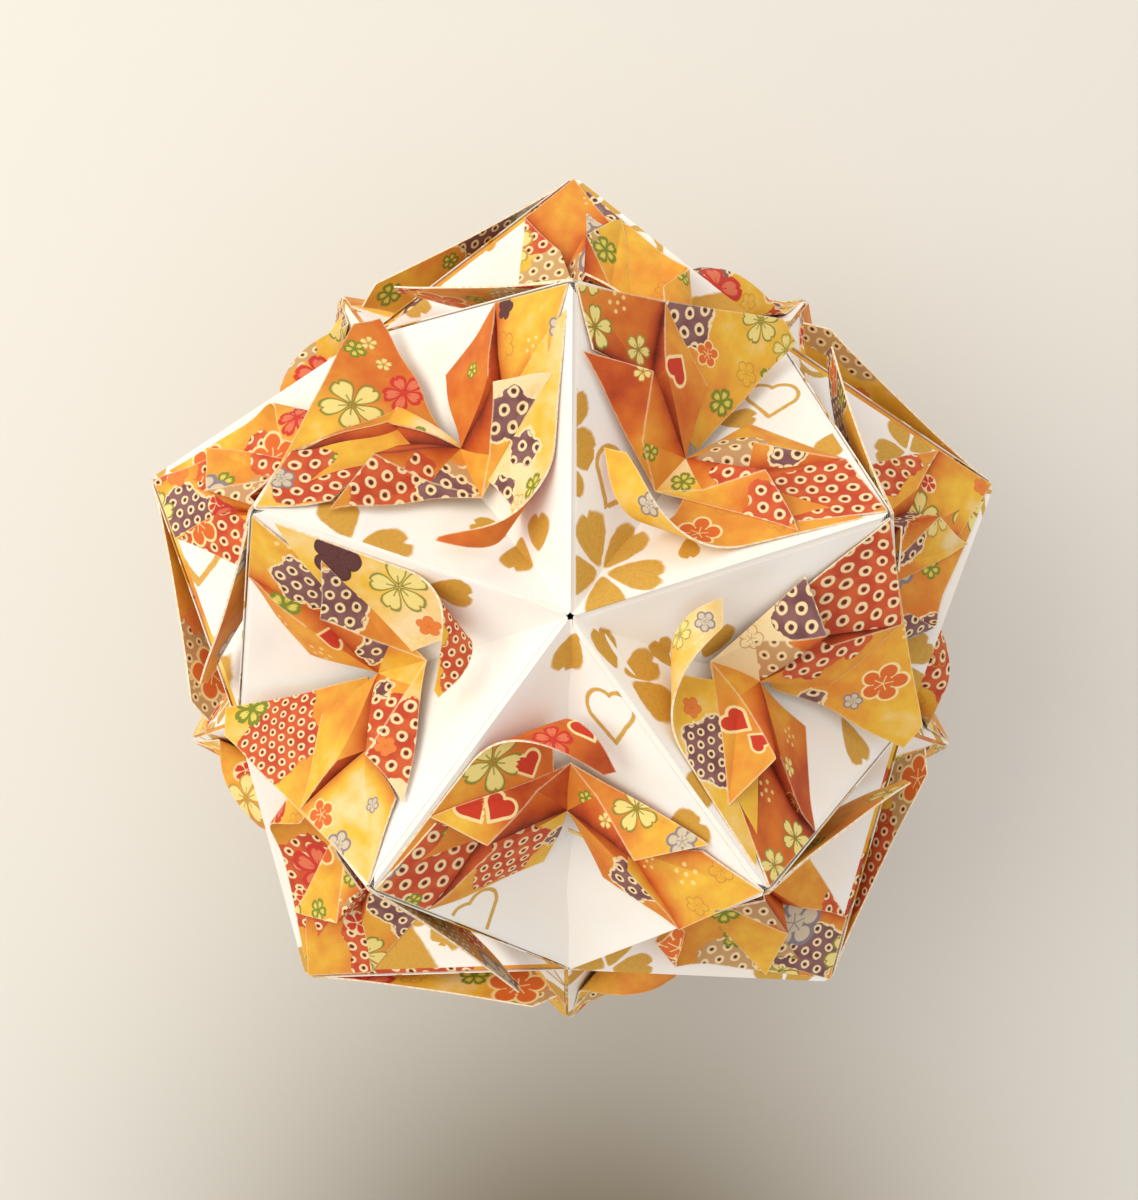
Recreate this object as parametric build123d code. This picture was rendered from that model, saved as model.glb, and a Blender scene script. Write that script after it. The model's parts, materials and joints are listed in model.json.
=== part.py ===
from build123d import *
import os
from math import acos, atan, cos, radians, sin, sqrt

# Kusudama paper ball: thirty folded paper units on the thirty edges of an icosahedron, held
# by tabs in pockets, with no glue, thread or frame. Millimetres, +Z up, standing on its
# lowest corner at the origin.
#
# Each unit is one sheet. In its own frame the valley crease runs along Y, from the head
# corner (-Y) to the tail corner (+Y), and +Z points out of the ball. Two wings rise from the
# valley to the peaks at +X (side 1) and -X (side -1). On a wing, u runs from the valley
# towards the peak, v along the valley and n out of the paper.

# Driving sizes of the folded sheet
valley_length = 60.0  # from the head corner to the tail corner
ply = 0.20  # front layer and back layer, two thicknesses of paper each
tab_ply = 0.25  # the tab, folded over once more
flap_ply = 0.30  # flaps and pleats
pocket_play = 0.10  # air on each side of a tab in its pocket
corner_cut = 0.8  # half of the opening where five units meet
peak_cut = 0.5  # the same where three wings meet
edge_band = 1.1  # from the upper half of the front layer to the ridge that a tab leaves from
tab_air = 0.45  # from a tab's side to the next fold inside its pocket
valley_air = 0.30  # from a tab's long edge to the strip along the valley
back_inset = 1.0  # from the ridges to the edges of the back layer
strip_width = 0.7  # creased strip that joins front and back, on each side of the valley
strip_stop = 2.1  # from the corners to the ends of that strip

# Rolled flap, on the head side of the wing at +X
roll_start = 2.0  # from the valley's middle line to where the flap comes out of the pleats
roll_flat = 12.5  # where the flat stretch ends and the roll starts
roll_radius = 4.0
roll_turn = 170.0  # degrees, after which the tip is straight
roll_short = 4.4  # how much shorter than half the valley the flap is
roll_lift = 2.9  # how high it stands over the paper beside the valley
roll_slope = 0.08  # fall of the flat stretch towards the head corner
roll_outer_fall = 1.14  # how fast its outer edge, from the peak on, nears the valley
roll_inner = 3.6  # from the valley to its inner edge
roll_inner_fall = 0.5  # how fast that edge crosses the valley from the roll on
roll_steps = 9

# Open flap, on the tail side of the wing at -X
open_lift = 4.0  # how much higher its tip stands than its foot
open_lift_pressed = -1.2  # the same on the five units that carry the ball
open_foot = 2.0  # height beside the valley
open_short = 4.5  # how much shorter than half the valley it is
open_tip = 4.2  # width of its blunt end
open_bend = 1.4  # 1 is flat, and more bends the tip up
open_steps = 4
flap_edge = 0.8  # from the valley and from the peak to the flaps

# Pleats, as (u, v, n). Points marked "in" are measured from the peak towards the valley.
head_point = (0.0, -9.5, 2.3)  # on the valley's middle line, n straight up
tail_point = (0.0, -1.0, 3.8)  # the same
inner_crest = (6.5, -5.9, 2.3)
outer_crest = (16.0, -1.3, 4.6)  # in
hinge_corner = (9.2, -7.0, 0.65)  # in
panel_tip = (0.8, 0.0, 0.30)  # in
panel_corner = (10.0, -5.6, 0.75)  # in
panel_floor = (18.5, 0.6, 0.7)  # in
back_crest = (17.0, 2.4, 2.6)  # in
back_corner = (8.4, 7.4)  # in
back_foot = (7.6, 8.0)
seat = 0.15  # how far a resting pleat stands over what it rests on
floor_rise = 0.8  # how much higher floor and crest stand over the open flap

# The ball, worked out from the valley. A peak is a cube's corner on a face of the
# icosahedron, so a wing rises by a cube corner's slope less the face's own fall.
half = valley_length / 2
ridge = half * sqrt(2)
wing_rise = atan(sqrt(2)) - acos(sqrt(5) / 3) / 2
corner_radius = valley_length * sin(radians(72))
fold_gap = ply + pocket_play
pocket_depth = fold_gap + tab_ply + pocket_play + ply


def wing_point(side, u, v, n):
    """A point of a wing, in the unit's frame."""
    across = u * cos(wing_rise) - n * sin(wing_rise)
    return Vector(side * across, v, u * sin(wing_rise) + n * cos(wing_rise))


wing_plane = Plane((0, 0, 0), x_dir=wing_point(1, 1, 0, 0), z_dir=wing_point(1, 0, 0, 1))
tab_plane = Plane(
    wing_point(1, half, 0, 0),
    x_dir=wing_point(1, -1, 1, 0),
    z_dir=wing_point(1, -1, -1, 0),
)


def layer(plane, outline, low, high):
    """A flat layer of paper between two heights over a plane."""
    face = make_face(Polyline(*outline, close=True))
    return extrude(plane.offset(low) * face, amount=high - low)


def sheet(points, facets, drops):
    """A folded sheet: triangles between named points, each point thickened by its drop."""
    under = {name: points[name] + drops[name] for name in points}
    edges = [(f[i], f[(i + 1) % 3]) for f in facets for i in range(3)]
    rim = [edge for edge in edges if (edge[1], edge[0]) not in edges]
    corners = [[points[name] for name in f] for f in facets]
    corners += [[under[name] for name in reversed(f)] for f in facets]
    for a, b in rim:
        corners += [[points[a], under[a], under[b]], [points[a], under[b], points[b]]]
    return Solid(Shell([Face(Wire.make_polygon(c, close=True)) for c in corners]))


def half_body():
    """Front layer, back layer and tab of the wing at +X."""
    end = half - corner_cut
    tab_cut = fold_gap * sqrt(2)
    lap = ply / 2
    front = [
        (-lap, -end),
        (corner_cut, -end),
        (half - peak_cut, -peak_cut),
        (half - peak_cut, peak_cut - tab_cut),
        (corner_cut - tab_cut, end),
        (-lap, end),
    ]
    band_cut = edge_band * sqrt(2)
    front_upper = front[:3] + [(half - band_cut, 0), (0, half - band_cut), (-lap, half - band_cut)]
    inner = strip_width / 2
    back_reach = half - back_inset * sqrt(2)
    back = [(inner, inner - back_reach), (back_reach, 0), (inner, back_reach - inner)]
    tab_side = fold_gap + tab_ply + tab_air
    tab_reach = ridge - (strip_width + valley_air) * sqrt(2)
    tab_end = tab_reach - strip_stop / 2
    tab = [
        (tab_side, 0),
        (tab_end, 0),
        (tab_end, tab_reach - tab_end),
        (tab_side, tab_reach - tab_side),
    ]
    return (
        layer(wing_plane, front, -ply, -ply / 2)
        + layer(wing_plane, front_upper, -ply / 2, 0)
        + layer(wing_plane, back, -pocket_depth, ply - pocket_depth)
        + layer(tab_plane, tab, fold_gap, fold_gap + tab_ply)
    )


def valley_strip():
    """The creased strip along the valley, where front and back are one."""
    outline = [
        (0, 0),
        (wing_point(1, strip_width, 0, 0).X, wing_point(1, strip_width, 0, 0).Z),
        (
            wing_point(1, strip_width, 0, -pocket_depth).X,
            wing_point(1, strip_width, 0, -pocket_depth).Z,
        ),
        (0, -pocket_depth / cos(wing_rise)),
    ]
    outline += [(-x, z) for x, z in reversed(outline[1:3])]
    face = Plane.XZ * make_face(Polyline(*outline, close=True))
    return extrude(face, amount=half - strip_stop, both=True)


def rolled_flap():
    """The flap on the head side of the wing at +X, its end rolled up to a pointed curl."""
    length = half - roll_short
    fall = atan(roll_slope)
    arc = min(roll_radius * radians(roll_turn), length - roll_flat - 0.5)
    stations = [roll_start, roll_flat]
    stations += [roll_flat + arc * i / roll_steps for i in range(1, roll_steps + 1)]
    stations.append(length)
    points, drops = {}, {}
    for i, along in enumerate(stations):
        flat = min(along, roll_flat)
        straight = max(along - flat - arc, 0)
        tilt = min(along - flat, arc) / roll_radius - fall
        out = flat + roll_radius * (sin(tilt) + sin(fall)) + straight * cos(tilt)
        up = roll_radius * (cos(fall) - cos(tilt)) + straight * sin(tilt) - flat * roll_slope
        inner = roll_inner - roll_inner_fall * (along - flat)
        outer = half - flap_edge - roll_outer_fall * along
        for name, u in (("a", inner), ("b", outer)):
            lift = seat / 2 + roll_lift * min(1 - u / half, 1)
            points[name, i] = wing_point(1, u, -out, lift + up)
            drops[name, i] = wing_point(1, 0, -sin(tilt), -cos(tilt)) * flap_ply
    facets = []
    for i in range(len(stations) - 1):
        a, b, c, d = ("a", i), ("b", i), ("b", i + 1), ("a", i + 1)
        facets += [(a, d, c), (a, c, b)]
    return sheet(points, facets, drops)


def open_height(u, v, lift):
    """Height of the open flap over the paper: it leans up from the peak, and bends."""
    reach = v / (half - open_short)
    return seat + open_foot * (1 - u / half) + lift * reach**open_bend


def open_flap(lift):
    """The flap on the tail side of the wing at -X."""
    length = half - open_short
    points, drops = {}, {}
    for i in range(open_steps + 1):
        v = roll_start + (length - roll_start) * i / open_steps
        outer = flap_edge + open_tip + (half - 2 * flap_edge - open_tip) * (1 - v / length)
        for name, u in (("a", flap_edge), ("b", outer)):
            points[name, i] = wing_point(-1, u, v, open_height(u, v, lift))
            drops[name, i] = wing_point(-1, 0, 0, -flap_ply)
    facets = []
    for i in range(open_steps):
        a, b, c, d = ("a", i), ("b", i), ("b", i + 1), ("a", i + 1)
        facets += [(a, d, c), (a, c, b)]
    return sheet(points, facets, drops)


def pleats(lift):
    """The pleated figure over both wings: on each wing a corner panel, a broad pleat on the
    head side, a narrow one on the tail side and a deep valley between them."""
    points = {
        "head": Vector(head_point[0], head_point[1], head_point[2]),
        "tail": Vector(tail_point[0], tail_point[1], tail_point[2]),
    }
    facets = []
    fan = [
        ("panelTip", "floor", "panelCorner"),
        ("panelTip", "backCorner", "floor"),
        ("floor", "backCorner", "backCrest"),
        ("backCrest", "backCorner", "backFoot"),
        ("tail", "backCrest", "backFoot"),
        ("tail", "floor", "backCrest"),
        ("tail", "outerCrest", "floor"),
        ("innerCrest", "outerCrest", "tail"),
        ("head", "innerCrest", "tail"),
        ("head", "hinge", "innerCrest"),
        ("hinge", "outerCrest", "innerCrest"),
    ]
    for side in (1, -1):
        rise = 0 if side == 1 else floor_rise
        corner_u = half - back_corner[0]
        rest = [0, 0] if side == 1 else [
            open_height(corner_u, back_corner[1], lift),
            open_height(back_foot[0], back_foot[1], lift),
        ]
        local = {
            "panelTip": (half - panel_tip[0], panel_tip[1], panel_tip[2]),
            "panelCorner": (half - panel_corner[0], panel_corner[1], panel_corner[2]),
            "hinge": (half - hinge_corner[0], hinge_corner[1], hinge_corner[2]),
            "floor": (half - panel_floor[0], panel_floor[1], panel_floor[2] + rise),
            "innerCrest": inner_crest,
            "outerCrest": (half - outer_crest[0], outer_crest[1], outer_crest[2]),
            "backCrest": (half - back_crest[0], back_crest[1], back_crest[2] + rise),
            "backCorner": (corner_u, back_corner[1], seat + rest[0]),
            "backFoot": (back_foot[0], back_foot[1], seat + rest[1]),
        }
        named = {name: name if name in points else (side, name) for f in fan for name in f}
        for name, place in local.items():
            points[side, name] = wing_point(side, *place)
        for f in fan:
            corners = [named[name] for name in f]
            facets.append(tuple(corners if side == 1 else reversed(corners)))
    drops = {name: Vector(0, 0, -flap_ply) for name in points}
    return sheet(points, facets, drops)


def unit(lift):
    """One whole folded unit, as a single solid."""
    wing = half_body()
    body = wing + Rot(0, 0, 180) * wing + valley_strip()
    return body + rolled_flap() + open_flap(lift) + pleats(lift)


def ring(start, height, radius):
    """Five corners of the icosahedron."""
    turns = [radians(start + 72 * k) for k in range(5)]
    return [Vector(radius * cos(t), radius * sin(t), height) for t in turns]


def place(head, tail):
    """Where the unit from one corner to another goes."""
    middle = (head + tail) / 2
    along = (tail - head).normalized()
    return Plane(middle, x_dir=along.cross(middle.normalized()), z_dir=middle).location


def ball():
    """All thirty units, by name."""
    top = Vector(0, 0, corner_radius)
    upper = ring(54, corner_radius / sqrt(5), 2 * corner_radius / sqrt(5))
    lower = ring(90, -corner_radius / sqrt(5), 2 * corner_radius / sqrt(5))
    plain = unit(open_lift)
    pressed = unit(open_lift_pressed)
    rows = {
        "top_cup_unit": (plain, [top] * 5, upper),
        "upper_ring_unit": (plain, upper, upper[1:] + upper[:1]),
        "upper_waist_unit": (plain, upper, lower),
        "lower_waist_unit": (plain, lower, upper[1:] + upper[:1]),
        "lower_ring_unit": (plain, lower, lower[1:] + lower[:1]),
        "bottom_cup_unit": (pressed, lower, [-top] * 5),
    }
    units = {}
    for row, (shape, heads, tails) in rows.items():
        for k in range(5):
            units[f"{row}_{k + 1}"] = place(heads[k], tails[k]) * shape
    return units


units = ball()
lowest = min(shape.bounding_box().min.Z for shape in units.values())
os.makedirs("parts", exist_ok=True)
for name, shape in units.items():
    export_step(Pos(0, 0, -lowest) * shape, f"parts/{name}.step")
print(len(units), "units, centre at", round(-lowest, 3))
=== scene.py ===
import json
import math
from functools import partialmethod

import bpy
import numpy as np
from mathutils import Matrix, Vector

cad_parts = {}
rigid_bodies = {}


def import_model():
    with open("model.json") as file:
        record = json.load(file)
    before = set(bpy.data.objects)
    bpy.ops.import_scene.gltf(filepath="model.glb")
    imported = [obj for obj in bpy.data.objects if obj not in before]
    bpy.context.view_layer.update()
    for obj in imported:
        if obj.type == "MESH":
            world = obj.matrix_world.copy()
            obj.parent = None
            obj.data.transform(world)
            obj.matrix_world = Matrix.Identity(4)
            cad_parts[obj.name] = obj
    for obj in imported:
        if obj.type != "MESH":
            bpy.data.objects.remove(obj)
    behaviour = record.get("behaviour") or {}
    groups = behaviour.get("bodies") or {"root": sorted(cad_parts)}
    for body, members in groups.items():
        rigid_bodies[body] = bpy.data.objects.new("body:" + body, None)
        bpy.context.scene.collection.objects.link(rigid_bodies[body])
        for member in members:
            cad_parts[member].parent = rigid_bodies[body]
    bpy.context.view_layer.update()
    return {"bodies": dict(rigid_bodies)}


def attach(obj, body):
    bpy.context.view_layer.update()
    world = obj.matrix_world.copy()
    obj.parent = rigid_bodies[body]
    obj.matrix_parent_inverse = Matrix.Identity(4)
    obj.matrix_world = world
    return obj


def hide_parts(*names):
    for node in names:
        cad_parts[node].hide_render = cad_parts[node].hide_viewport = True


# Kusudama paper ball: thirty folded sheets. Shapes are worked out in millimetres in each unit's
# own frame (valley along Y from head to tail, +Z out of the ball) and written in metres.

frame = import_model()

ball = {
    "valley": 60.0,  # from head corner to tail corner of a unit
    "centreHeight": 57.501,  # of the ball's middle over the table
    "topRingTurn": 54,  # degrees, where the first corner of the upper ring lies
    "seed": 7,
}
half = ball["valley"] / 2
wingRise = math.atan(math.sqrt(2)) - math.acos(math.sqrt(5) / 3) / 2
cornerRadius = ball["valley"] * math.sin(math.radians(72))
hidden = 99.0  # mm, stands for an edge that isn't marked on a facet
farOff = 20.0  # mm, stands for a field of colour that a stretch of print lacks
motifFar = 9.0  # the same for a motif, in its radii
underside = 40  # added to a part's number on its lower face
ridgeSlope = 0.71  # a ridge lies at 45 degrees, so it is nearer than u says
closing = {
    "shift": 0.00037,  # mm, keeps points off the edges of the rounding
    "facing": 0.6,  # limits how far the lower face moves at a sharp fold
    "backPrint": (41, 23),  # mm, so that the lower face shows another stretch of print
    "looked": 20,  # triangles that tell which way a sheet faces
}


# Shapes: small helpers

def stacked(*values):
    # arrays or numbers side by side along a new last axis
    return np.stack(np.broadcast_arrays(*values), -1).astype(float)


def wingPoint(side, u, v, n):
    # side +1 or -1; u runs from the valley up to the peak, v along the valley, n out of the paper
    across = u * math.cos(wingRise) - n * math.sin(wingRise)
    rise = u * math.sin(wingRise) + n * math.cos(wingRise)
    return stacked(side * across, v, rise)


def smoothStep(x, low, high):
    # 0 below low, 1 above high, 3t^2 - 2t^3 in between
    t = np.clip((x - low) / (high - low), 0, 1)
    return t * t * (3 - 2 * t)


def gridTriangles(grid):
    # cuts each cell of a grid of values into two triangles: rows x columns x k becomes F x 3 x k
    a, b, c, d = grid[:-1, :-1], grid[1:, :-1], grid[1:, 1:], grid[:-1, 1:]
    pair = np.stack([np.stack([a, b, c], 2), np.stack([a, c, d], 2)], 2)
    return pair.reshape(-1, 3, grid.shape[-1])


def latticeOf(count):
    # barycentric weights of a triangle's lattice, and its small triangles, as whole arrays
    i, j = np.meshgrid(np.arange(count + 1), np.arange(count + 1), indexing="ij")
    inside = i + j <= count
    number = np.cumsum(inside.ravel()).reshape(inside.shape) - 1
    weights = np.stack([count - i - j, i, j], -1)[inside] / count
    up = (i + j < count) & (i < count) & (j < count)
    down = i + j < count - 1
    a, b = i[up], j[up]
    c, d = i[down], j[down]
    faces = np.concatenate([
        np.stack([number[a, b], number[a + 1, b], number[a, b + 1]], -1),
        np.stack([number[c + 1, d], number[c + 1, d + 1], number[c, d + 1]], -1),
    ])
    return weights, faces


def joinSheets(*sheets):
    return {key: np.concatenate([s[key] for s in sheets]) for key in sheets[0]}


def gridSheet(points, places, gaps, part):
    # a sheet from grids: points, places on the printed paper, and distances to its marked edges.
    # Its triangles are turned so that the first ones look out of the ball.
    sheet = {"points": gridTriangles(points), "print": gridTriangles(stacked(*places))}
    shape = sheet["points"].shape[:2]
    sheet["gaps"] = gridTriangles(stacked(*gaps)) if gaps else np.full(shape + (3,), hidden)
    sheet["part"], sheet["crease"] = np.full(shape + (1,), part), np.full(shape + (1,), hidden)
    a, b, c = (sheet["points"][:closing["looked"], k] for k in range(3))
    inward = np.cross(b - a, c - a)[:, 2].sum() < 0
    return {key: value[:, ::-1] for key, value in sheet.items()} if inward else sheet


def unitVectors(vectors):
    return vectors / np.maximum(np.linalg.norm(vectors, axis=1), 1e-12)[:, None]


def closeSheet(sheet, thickness, paint):
    # welds a sheet, copies it a paper's thickness below along the averaged normals, and joins
    # both along every open edge, so that the result is one closed shell
    flat = sheet["points"].reshape(-1, 3)
    rounded = np.round(flat + closing["shift"], 3)
    _, first, index = np.unique(rounded, axis=0, return_index=True, return_inverse=True)
    top, faces = flat[first], index.reshape(-1, 3)
    keep = (faces != np.roll(faces, 1, 1)).all(1)
    faces, part = faces[keep], sheet["part"][keep, 0, 0]
    a, b, c = (top[faces[:, k]] for k in range(3))
    normal, pointNormal = unitVectors(np.cross(b - a, c - a)), np.zeros_like(top)
    for k, (p, q, r) in enumerate([(a, b, c), (b, c, a), (c, a, b)]):
        angle = np.arccos(np.clip((unitVectors(q - p) * unitVectors(r - p)).sum(1), -1, 1))
        np.add.at(pointNormal, faces[:, k], normal * angle[:, None])
    pointNormal, facing = unitVectors(pointNormal), np.ones(len(top))
    for k in range(3):
        np.minimum.at(facing, faces[:, k], (normal * pointNormal[faces[:, k]]).sum(1))
    under = top - pointNormal * (thickness / np.clip(facing, closing["facing"], 1))[:, None]
    size = len(top)
    start, end = faces.ravel(), np.roll(faces, -1, axis=1).ravel()
    alone = ~np.isin(start * size + end, end * size + start)
    face, corner = np.nonzero(alone.reshape(-1, 3))
    s, e = start[alone], end[alone]
    rim = np.concatenate([np.stack([e, s, s + size], 1), np.stack([e, s + size, e + size], 1)])

    def allFaces(values, shift=0):
        # values at the corners of the upper face, the lower face and the rim
        p, q = values[face, corner], values[face, (corner + 1) % 3]
        rims = np.stack([q, p, p], 1), np.stack([q, p, q], 1)
        return np.concatenate([values, values[:, ::-1] + shift, *rims])
    return {
        "verts": np.concatenate([top, under]),
        "faces": np.concatenate([faces, faces[:, ::-1] + size, rim]),
        "print": allFaces(sheet["print"][keep], closing["backPrint"]),
        "gaps": allFaces(sheet["gaps"][keep]),
        "crease": allFaces(sheet["crease"][keep])[..., 0],
        "paint": np.repeat([paint, 2 * (paint > 0)], [2 * len(faces), len(rim)]),
        "part": np.concatenate([part, part + underside, part[face], part[face]]),
    }


def joinShells(shells):
    offsets = np.cumsum([0] + [len(s["verts"]) for s in shells[:-1]])
    faces = np.concatenate([s["faces"] + o for s, o in zip(shells, offsets)])
    return {**joinSheets(*shells), "faces": faces}


# The white body: both wings, the band along the ridge, back layer and tab

body = {
    "ply": 0.20,
    "frontPly": 0.12,
    "bandPly": 0.1,
    "cornerCut": 0.5,
    "peakCut": 0.5,
    "leastReach": 0.25,
    "tabCut": 0.42,
    "bandWidth": 1.5,  # in u, where the under layer shows beside a tab's ridge
    "bandStep": 0.14,
    "bandInto": np.array([-3.6, -1.8, -0.5, 0.0, 0.0, 0.0]),  # u past the ridge, across the band
    "bandDown": np.array([0.0, 0.0, 0.0, 0.12, 0.6, 3.5]),  # its depth there
    "bandFade": 3,  # mm, the reach under which it grows shallower
    "bandPrint": 9,  # mm, which stretch of the print it shows
    "bandRows": 40,
    "backShort": 1.4,  # of the layer behind, and where it starts
    "backEdge": 0.35,
    "backDepth": 0.62,
    "backTrim": 0.4,
    "backRows": 9,
    "backColumns": 4,
    "turnover": 0.6,  # mm about the middle, where a mouth gives way to a tab
    "rows": 64,
    "columns": 26,
}


def ridgeReach(side, v, tabInset):
    # how far the wing reaches at v: to the ridge on the mouth side, short of it on the tab side
    tabSide = smoothStep(side * v, -body["turnover"], body["turnover"])
    reach = half - np.abs(v) - tabInset * tabSide
    return np.clip(np.minimum(reach, half - body["peakCut"]), body["leastReach"], None)


def bodySheet():
    # across each v the sheet runs from ridge to ridge: u is the reach there times |t|
    end = half - body["cornerCut"]
    v = np.linspace(-end, end, body["rows"] + 1)[:, None]
    t = np.linspace(-1, 1, 2 * body["columns"] + 1)[None, :]
    reach = np.where(t > 0, *(ridgeReach(side, v, body["bandWidth"]) for side in (1, -1)))
    u = reach * np.abs(t)
    points = np.where((t > 0)[..., None], wingPoint(1, u, v, 0), wingPoint(-1, u, v, 0))
    return gridSheet(points, (np.sign(t) * u, v), ((reach - u) * ridgeSlope, u, hidden), 0)


def bandSheet(side):
    # the layer under the front: it shows as a narrow band, folds at the ridge and goes in
    v = side * np.linspace(body["turnover"], half - body["cornerCut"], body["bandRows"] + 1)[:, None]
    ridge = ridgeReach(side, v, body["tabCut"])
    u = np.clip(ridge + body["bandInto"], 0.05, None)
    n = -body["bandStep"] - body["bandDown"] * np.minimum(1, ridge / body["bandFade"])
    return gridSheet(wingPoint(side, u, v, n), (u + body["bandPrint"], v), (), 1)


def backSheet(side):
    # the layer behind, which closes the pocket: a plane under the wing between straight edges
    reach, edge, trim = half - body["backShort"], body["backEdge"], body["backTrim"]
    v = np.linspace(trim - reach, reach - trim, body["backRows"])[:, None]
    u = edge + (reach - np.abs(v) - edge) * np.linspace(0, 1, body["backColumns"])[None, :]
    return gridSheet(wingPoint(side, u, v, -body["backDepth"]), (u, v), (), 2)


# The rolled flap: a triangle that lies along the wing and ends in a curl

roll = {
    "start": 2.0,
    "flat": 12.5,  # where the flat stretch ends and the curl starts
    "radius": 4.0,
    "turn": 170.0,  # degrees, after which the tip is straight
    "length": 25.6,
    "peakEdge": 29.2,  # u of the outer edge at the peak, and its fall along the flap
    "outerFall": 1.14,
    "valleyEdge": 3.6,  # the same of the inner edge, which falls from the curl on
    "innerFall": 0.5,
    "lift": 2.9,
    "slope": 0.08,
    "ply": 0.26,
    "seat": 0.15,
    "rows": 44,
    "columns": 20,
}


def rolledSheet(change):
    # a flat strip between two straight edges, wound over an arc from "flat" on
    r = {**roll, **change}
    along = np.linspace(r["start"], r["length"], r["rows"] + 1)[:, None]
    t = np.linspace(0, 1, r["columns"] + 1)[None, :]
    outer = r["peakEdge"] - r["outerFall"] * along
    inner = r["valleyEdge"] - r["innerFall"] * np.maximum(along - r["flat"], 0)
    u = inner + (outer - inner) * t
    over = np.maximum(along - r["flat"], 0)
    fall = math.atan(r["slope"])
    turned = np.minimum(over / r["radius"], math.radians(r["turn"]))
    straight = over - turned * r["radius"]
    tilt = turned - fall
    flat = along - over
    out = flat + r["radius"] * (np.sin(tilt) + math.sin(fall)) + straight * np.cos(tilt)
    up = r["radius"] * (math.cos(fall) - np.cos(tilt)) + straight * np.sin(tilt) - flat * r["slope"]
    lift = r["seat"] / 2 + r["lift"] * np.minimum(1 - u / half, 1)
    gaps = u - inner, (outer - u) * ridgeSlope, r["length"] - along
    return gridSheet(wingPoint(1, u, -out, lift + up), (u, along), gaps, 3)


# The open flap: a triangle that leans up from the peak towards the tail

lean = {
    "start": 2.0,
    "lift": 4.0,
    "pressed": -1.2,  # lift of the flaps under the ball
    "tucked": {"top_cup_unit_4": 2.5},  # mm, where the photograph shows no flap past the pleats
    "foot": 2.0,
    "short": 4.5,
    "bend": 1.4,
    "tip": 4.2,
    "edge": 0.8,
    "ply": 0.26,
    "seat": 0.15,
    "rows": 36,
    "columns": 24,
}


def openHeight(u, v, lift):
    # over the wing: higher towards the valley, and by a power of v towards its tip
    reach = np.clip(v / (half - lean["short"]), 0, None)
    return lean["seat"] + lean["foot"] * (1 - u / half) + lift * reach ** lean["bend"]


def openSheet(lift, name):
    # a triangle from the valley's side to an outer edge that nears it with v
    length = half - lean["short"]
    v = np.linspace(lean["start"], lean["tucked"].get(name, length), lean["rows"] + 1)[:, None]
    t = np.linspace(0, 1, lean["columns"] + 1)[None, :]
    outer = lean["edge"] + lean["tip"] + (half - 2 * lean["edge"] - lean["tip"]) * (1 - v / length)
    u = lean["edge"] + (outer - lean["edge"]) * t
    gaps = u - lean["edge"], (outer - u) * ridgeSlope, length - v
    return gridSheet(wingPoint(-1, u, v, openHeight(u, v, lift)), (u, v), gaps, 4)


# The pleats: on each wing a corner panel, a broad pleat, a deep valley and a narrow pleat

pleat = {
    "ply": 0.26,
    "count": 13,  # lattice steps on each facet's side
    "bulge": 0.35,
    "plainBulge": 0.3,  # share of the bulge on a facet that "bulges" doesn't name
    "bulgeArea": 200,  # twice the area in square mm of a facet with the whole bulge
    "floorRise": 0.8,
    "seat": 0.15,
}
pleatPoints = {  # u from the valley, v, n
    "panelTip": (half - 0.8, 0.0, 0.30),
    "panelCorner": (half - 10.0, -5.6, 0.75),
    "hinge": (half - 9.2, -7.0, 0.65),
    "floor": (half - 18.5, 0.6, 0.7),
    "innerCrest": (6.5, -5.9, 2.6),
    "outerCrest": (half - 16.0, -1.3, 5.2),
    "backCrest": (half - 17.0, 2.4, 2.6),
    "backCorner": (half - 8.4, 7.4, 0.0),
    "backFoot": (7.6, 8.0, 0.0),
}
pleatMiddle = {"head": (0.0, -9.5, 2.3), "tail": (0.0, -1.0, 3.8)}  # x, y, z on the valley
pleatFan = [
    ("panelTip", "floor", "panelCorner"),
    ("panelTip", "backCorner", "floor"),
    ("floor", "backCorner", "backCrest"),
    ("backCrest", "backCorner", "backFoot"),
    ("tail", "backCrest", "backFoot"),
    ("tail", "floor", "backCrest"),
    ("tail", "outerCrest", "floor"),
    ("innerCrest", "outerCrest", "tail"),
    ("head", "innerCrest", "tail"),
    ("head", "hinge", "innerCrest"),
    ("hinge", "outerCrest", "innerCrest"),
]
pleatEdges = [  # crests and cut edges, which wear pale and carry a painted highlight
    {"hinge", "outerCrest"}, {"head", "hinge"}, {"head", "innerCrest"}, {"innerCrest", "outerCrest"},
    {"backCrest", "backCorner"}, {"backCorner", "backFoot"},
    {"panelTip", "panelCorner"}, {"panelTip", "backCorner"},
]
pleatShadedCreases = [  # deep folds, where the colour is darkened as painted shade
    {"panelCorner", "floor"}, {"tail", "floor"}, {"floor", "backCorner"}, {"tail", "outerCrest"},
]
bulges = {0: 0.5, 1: 0.6, 7: 1.0, 9: 1.0, 10: 0.8}  # share of the bulge, by place in the fan
pleatPart = [10, 10, 11, 12, 12, 12, 13, 14, 15, 15, 15]  # facets that carry one stretch of print


def unfold(known, lengths):
    # the flat place of a facet's third corner, from two known corners and its distances to them
    a, b = known
    edge = np.linalg.norm(b - a)
    along = (b - a) / edge
    x = (lengths[0] ** 2 - lengths[1] ** 2 + edge ** 2) / (2 * edge)
    y = math.sqrt(max(lengths[0] ** 2 - x * x, 1e-9))
    return a + along * x + np.array([-along[1], along[0]]) * y


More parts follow.
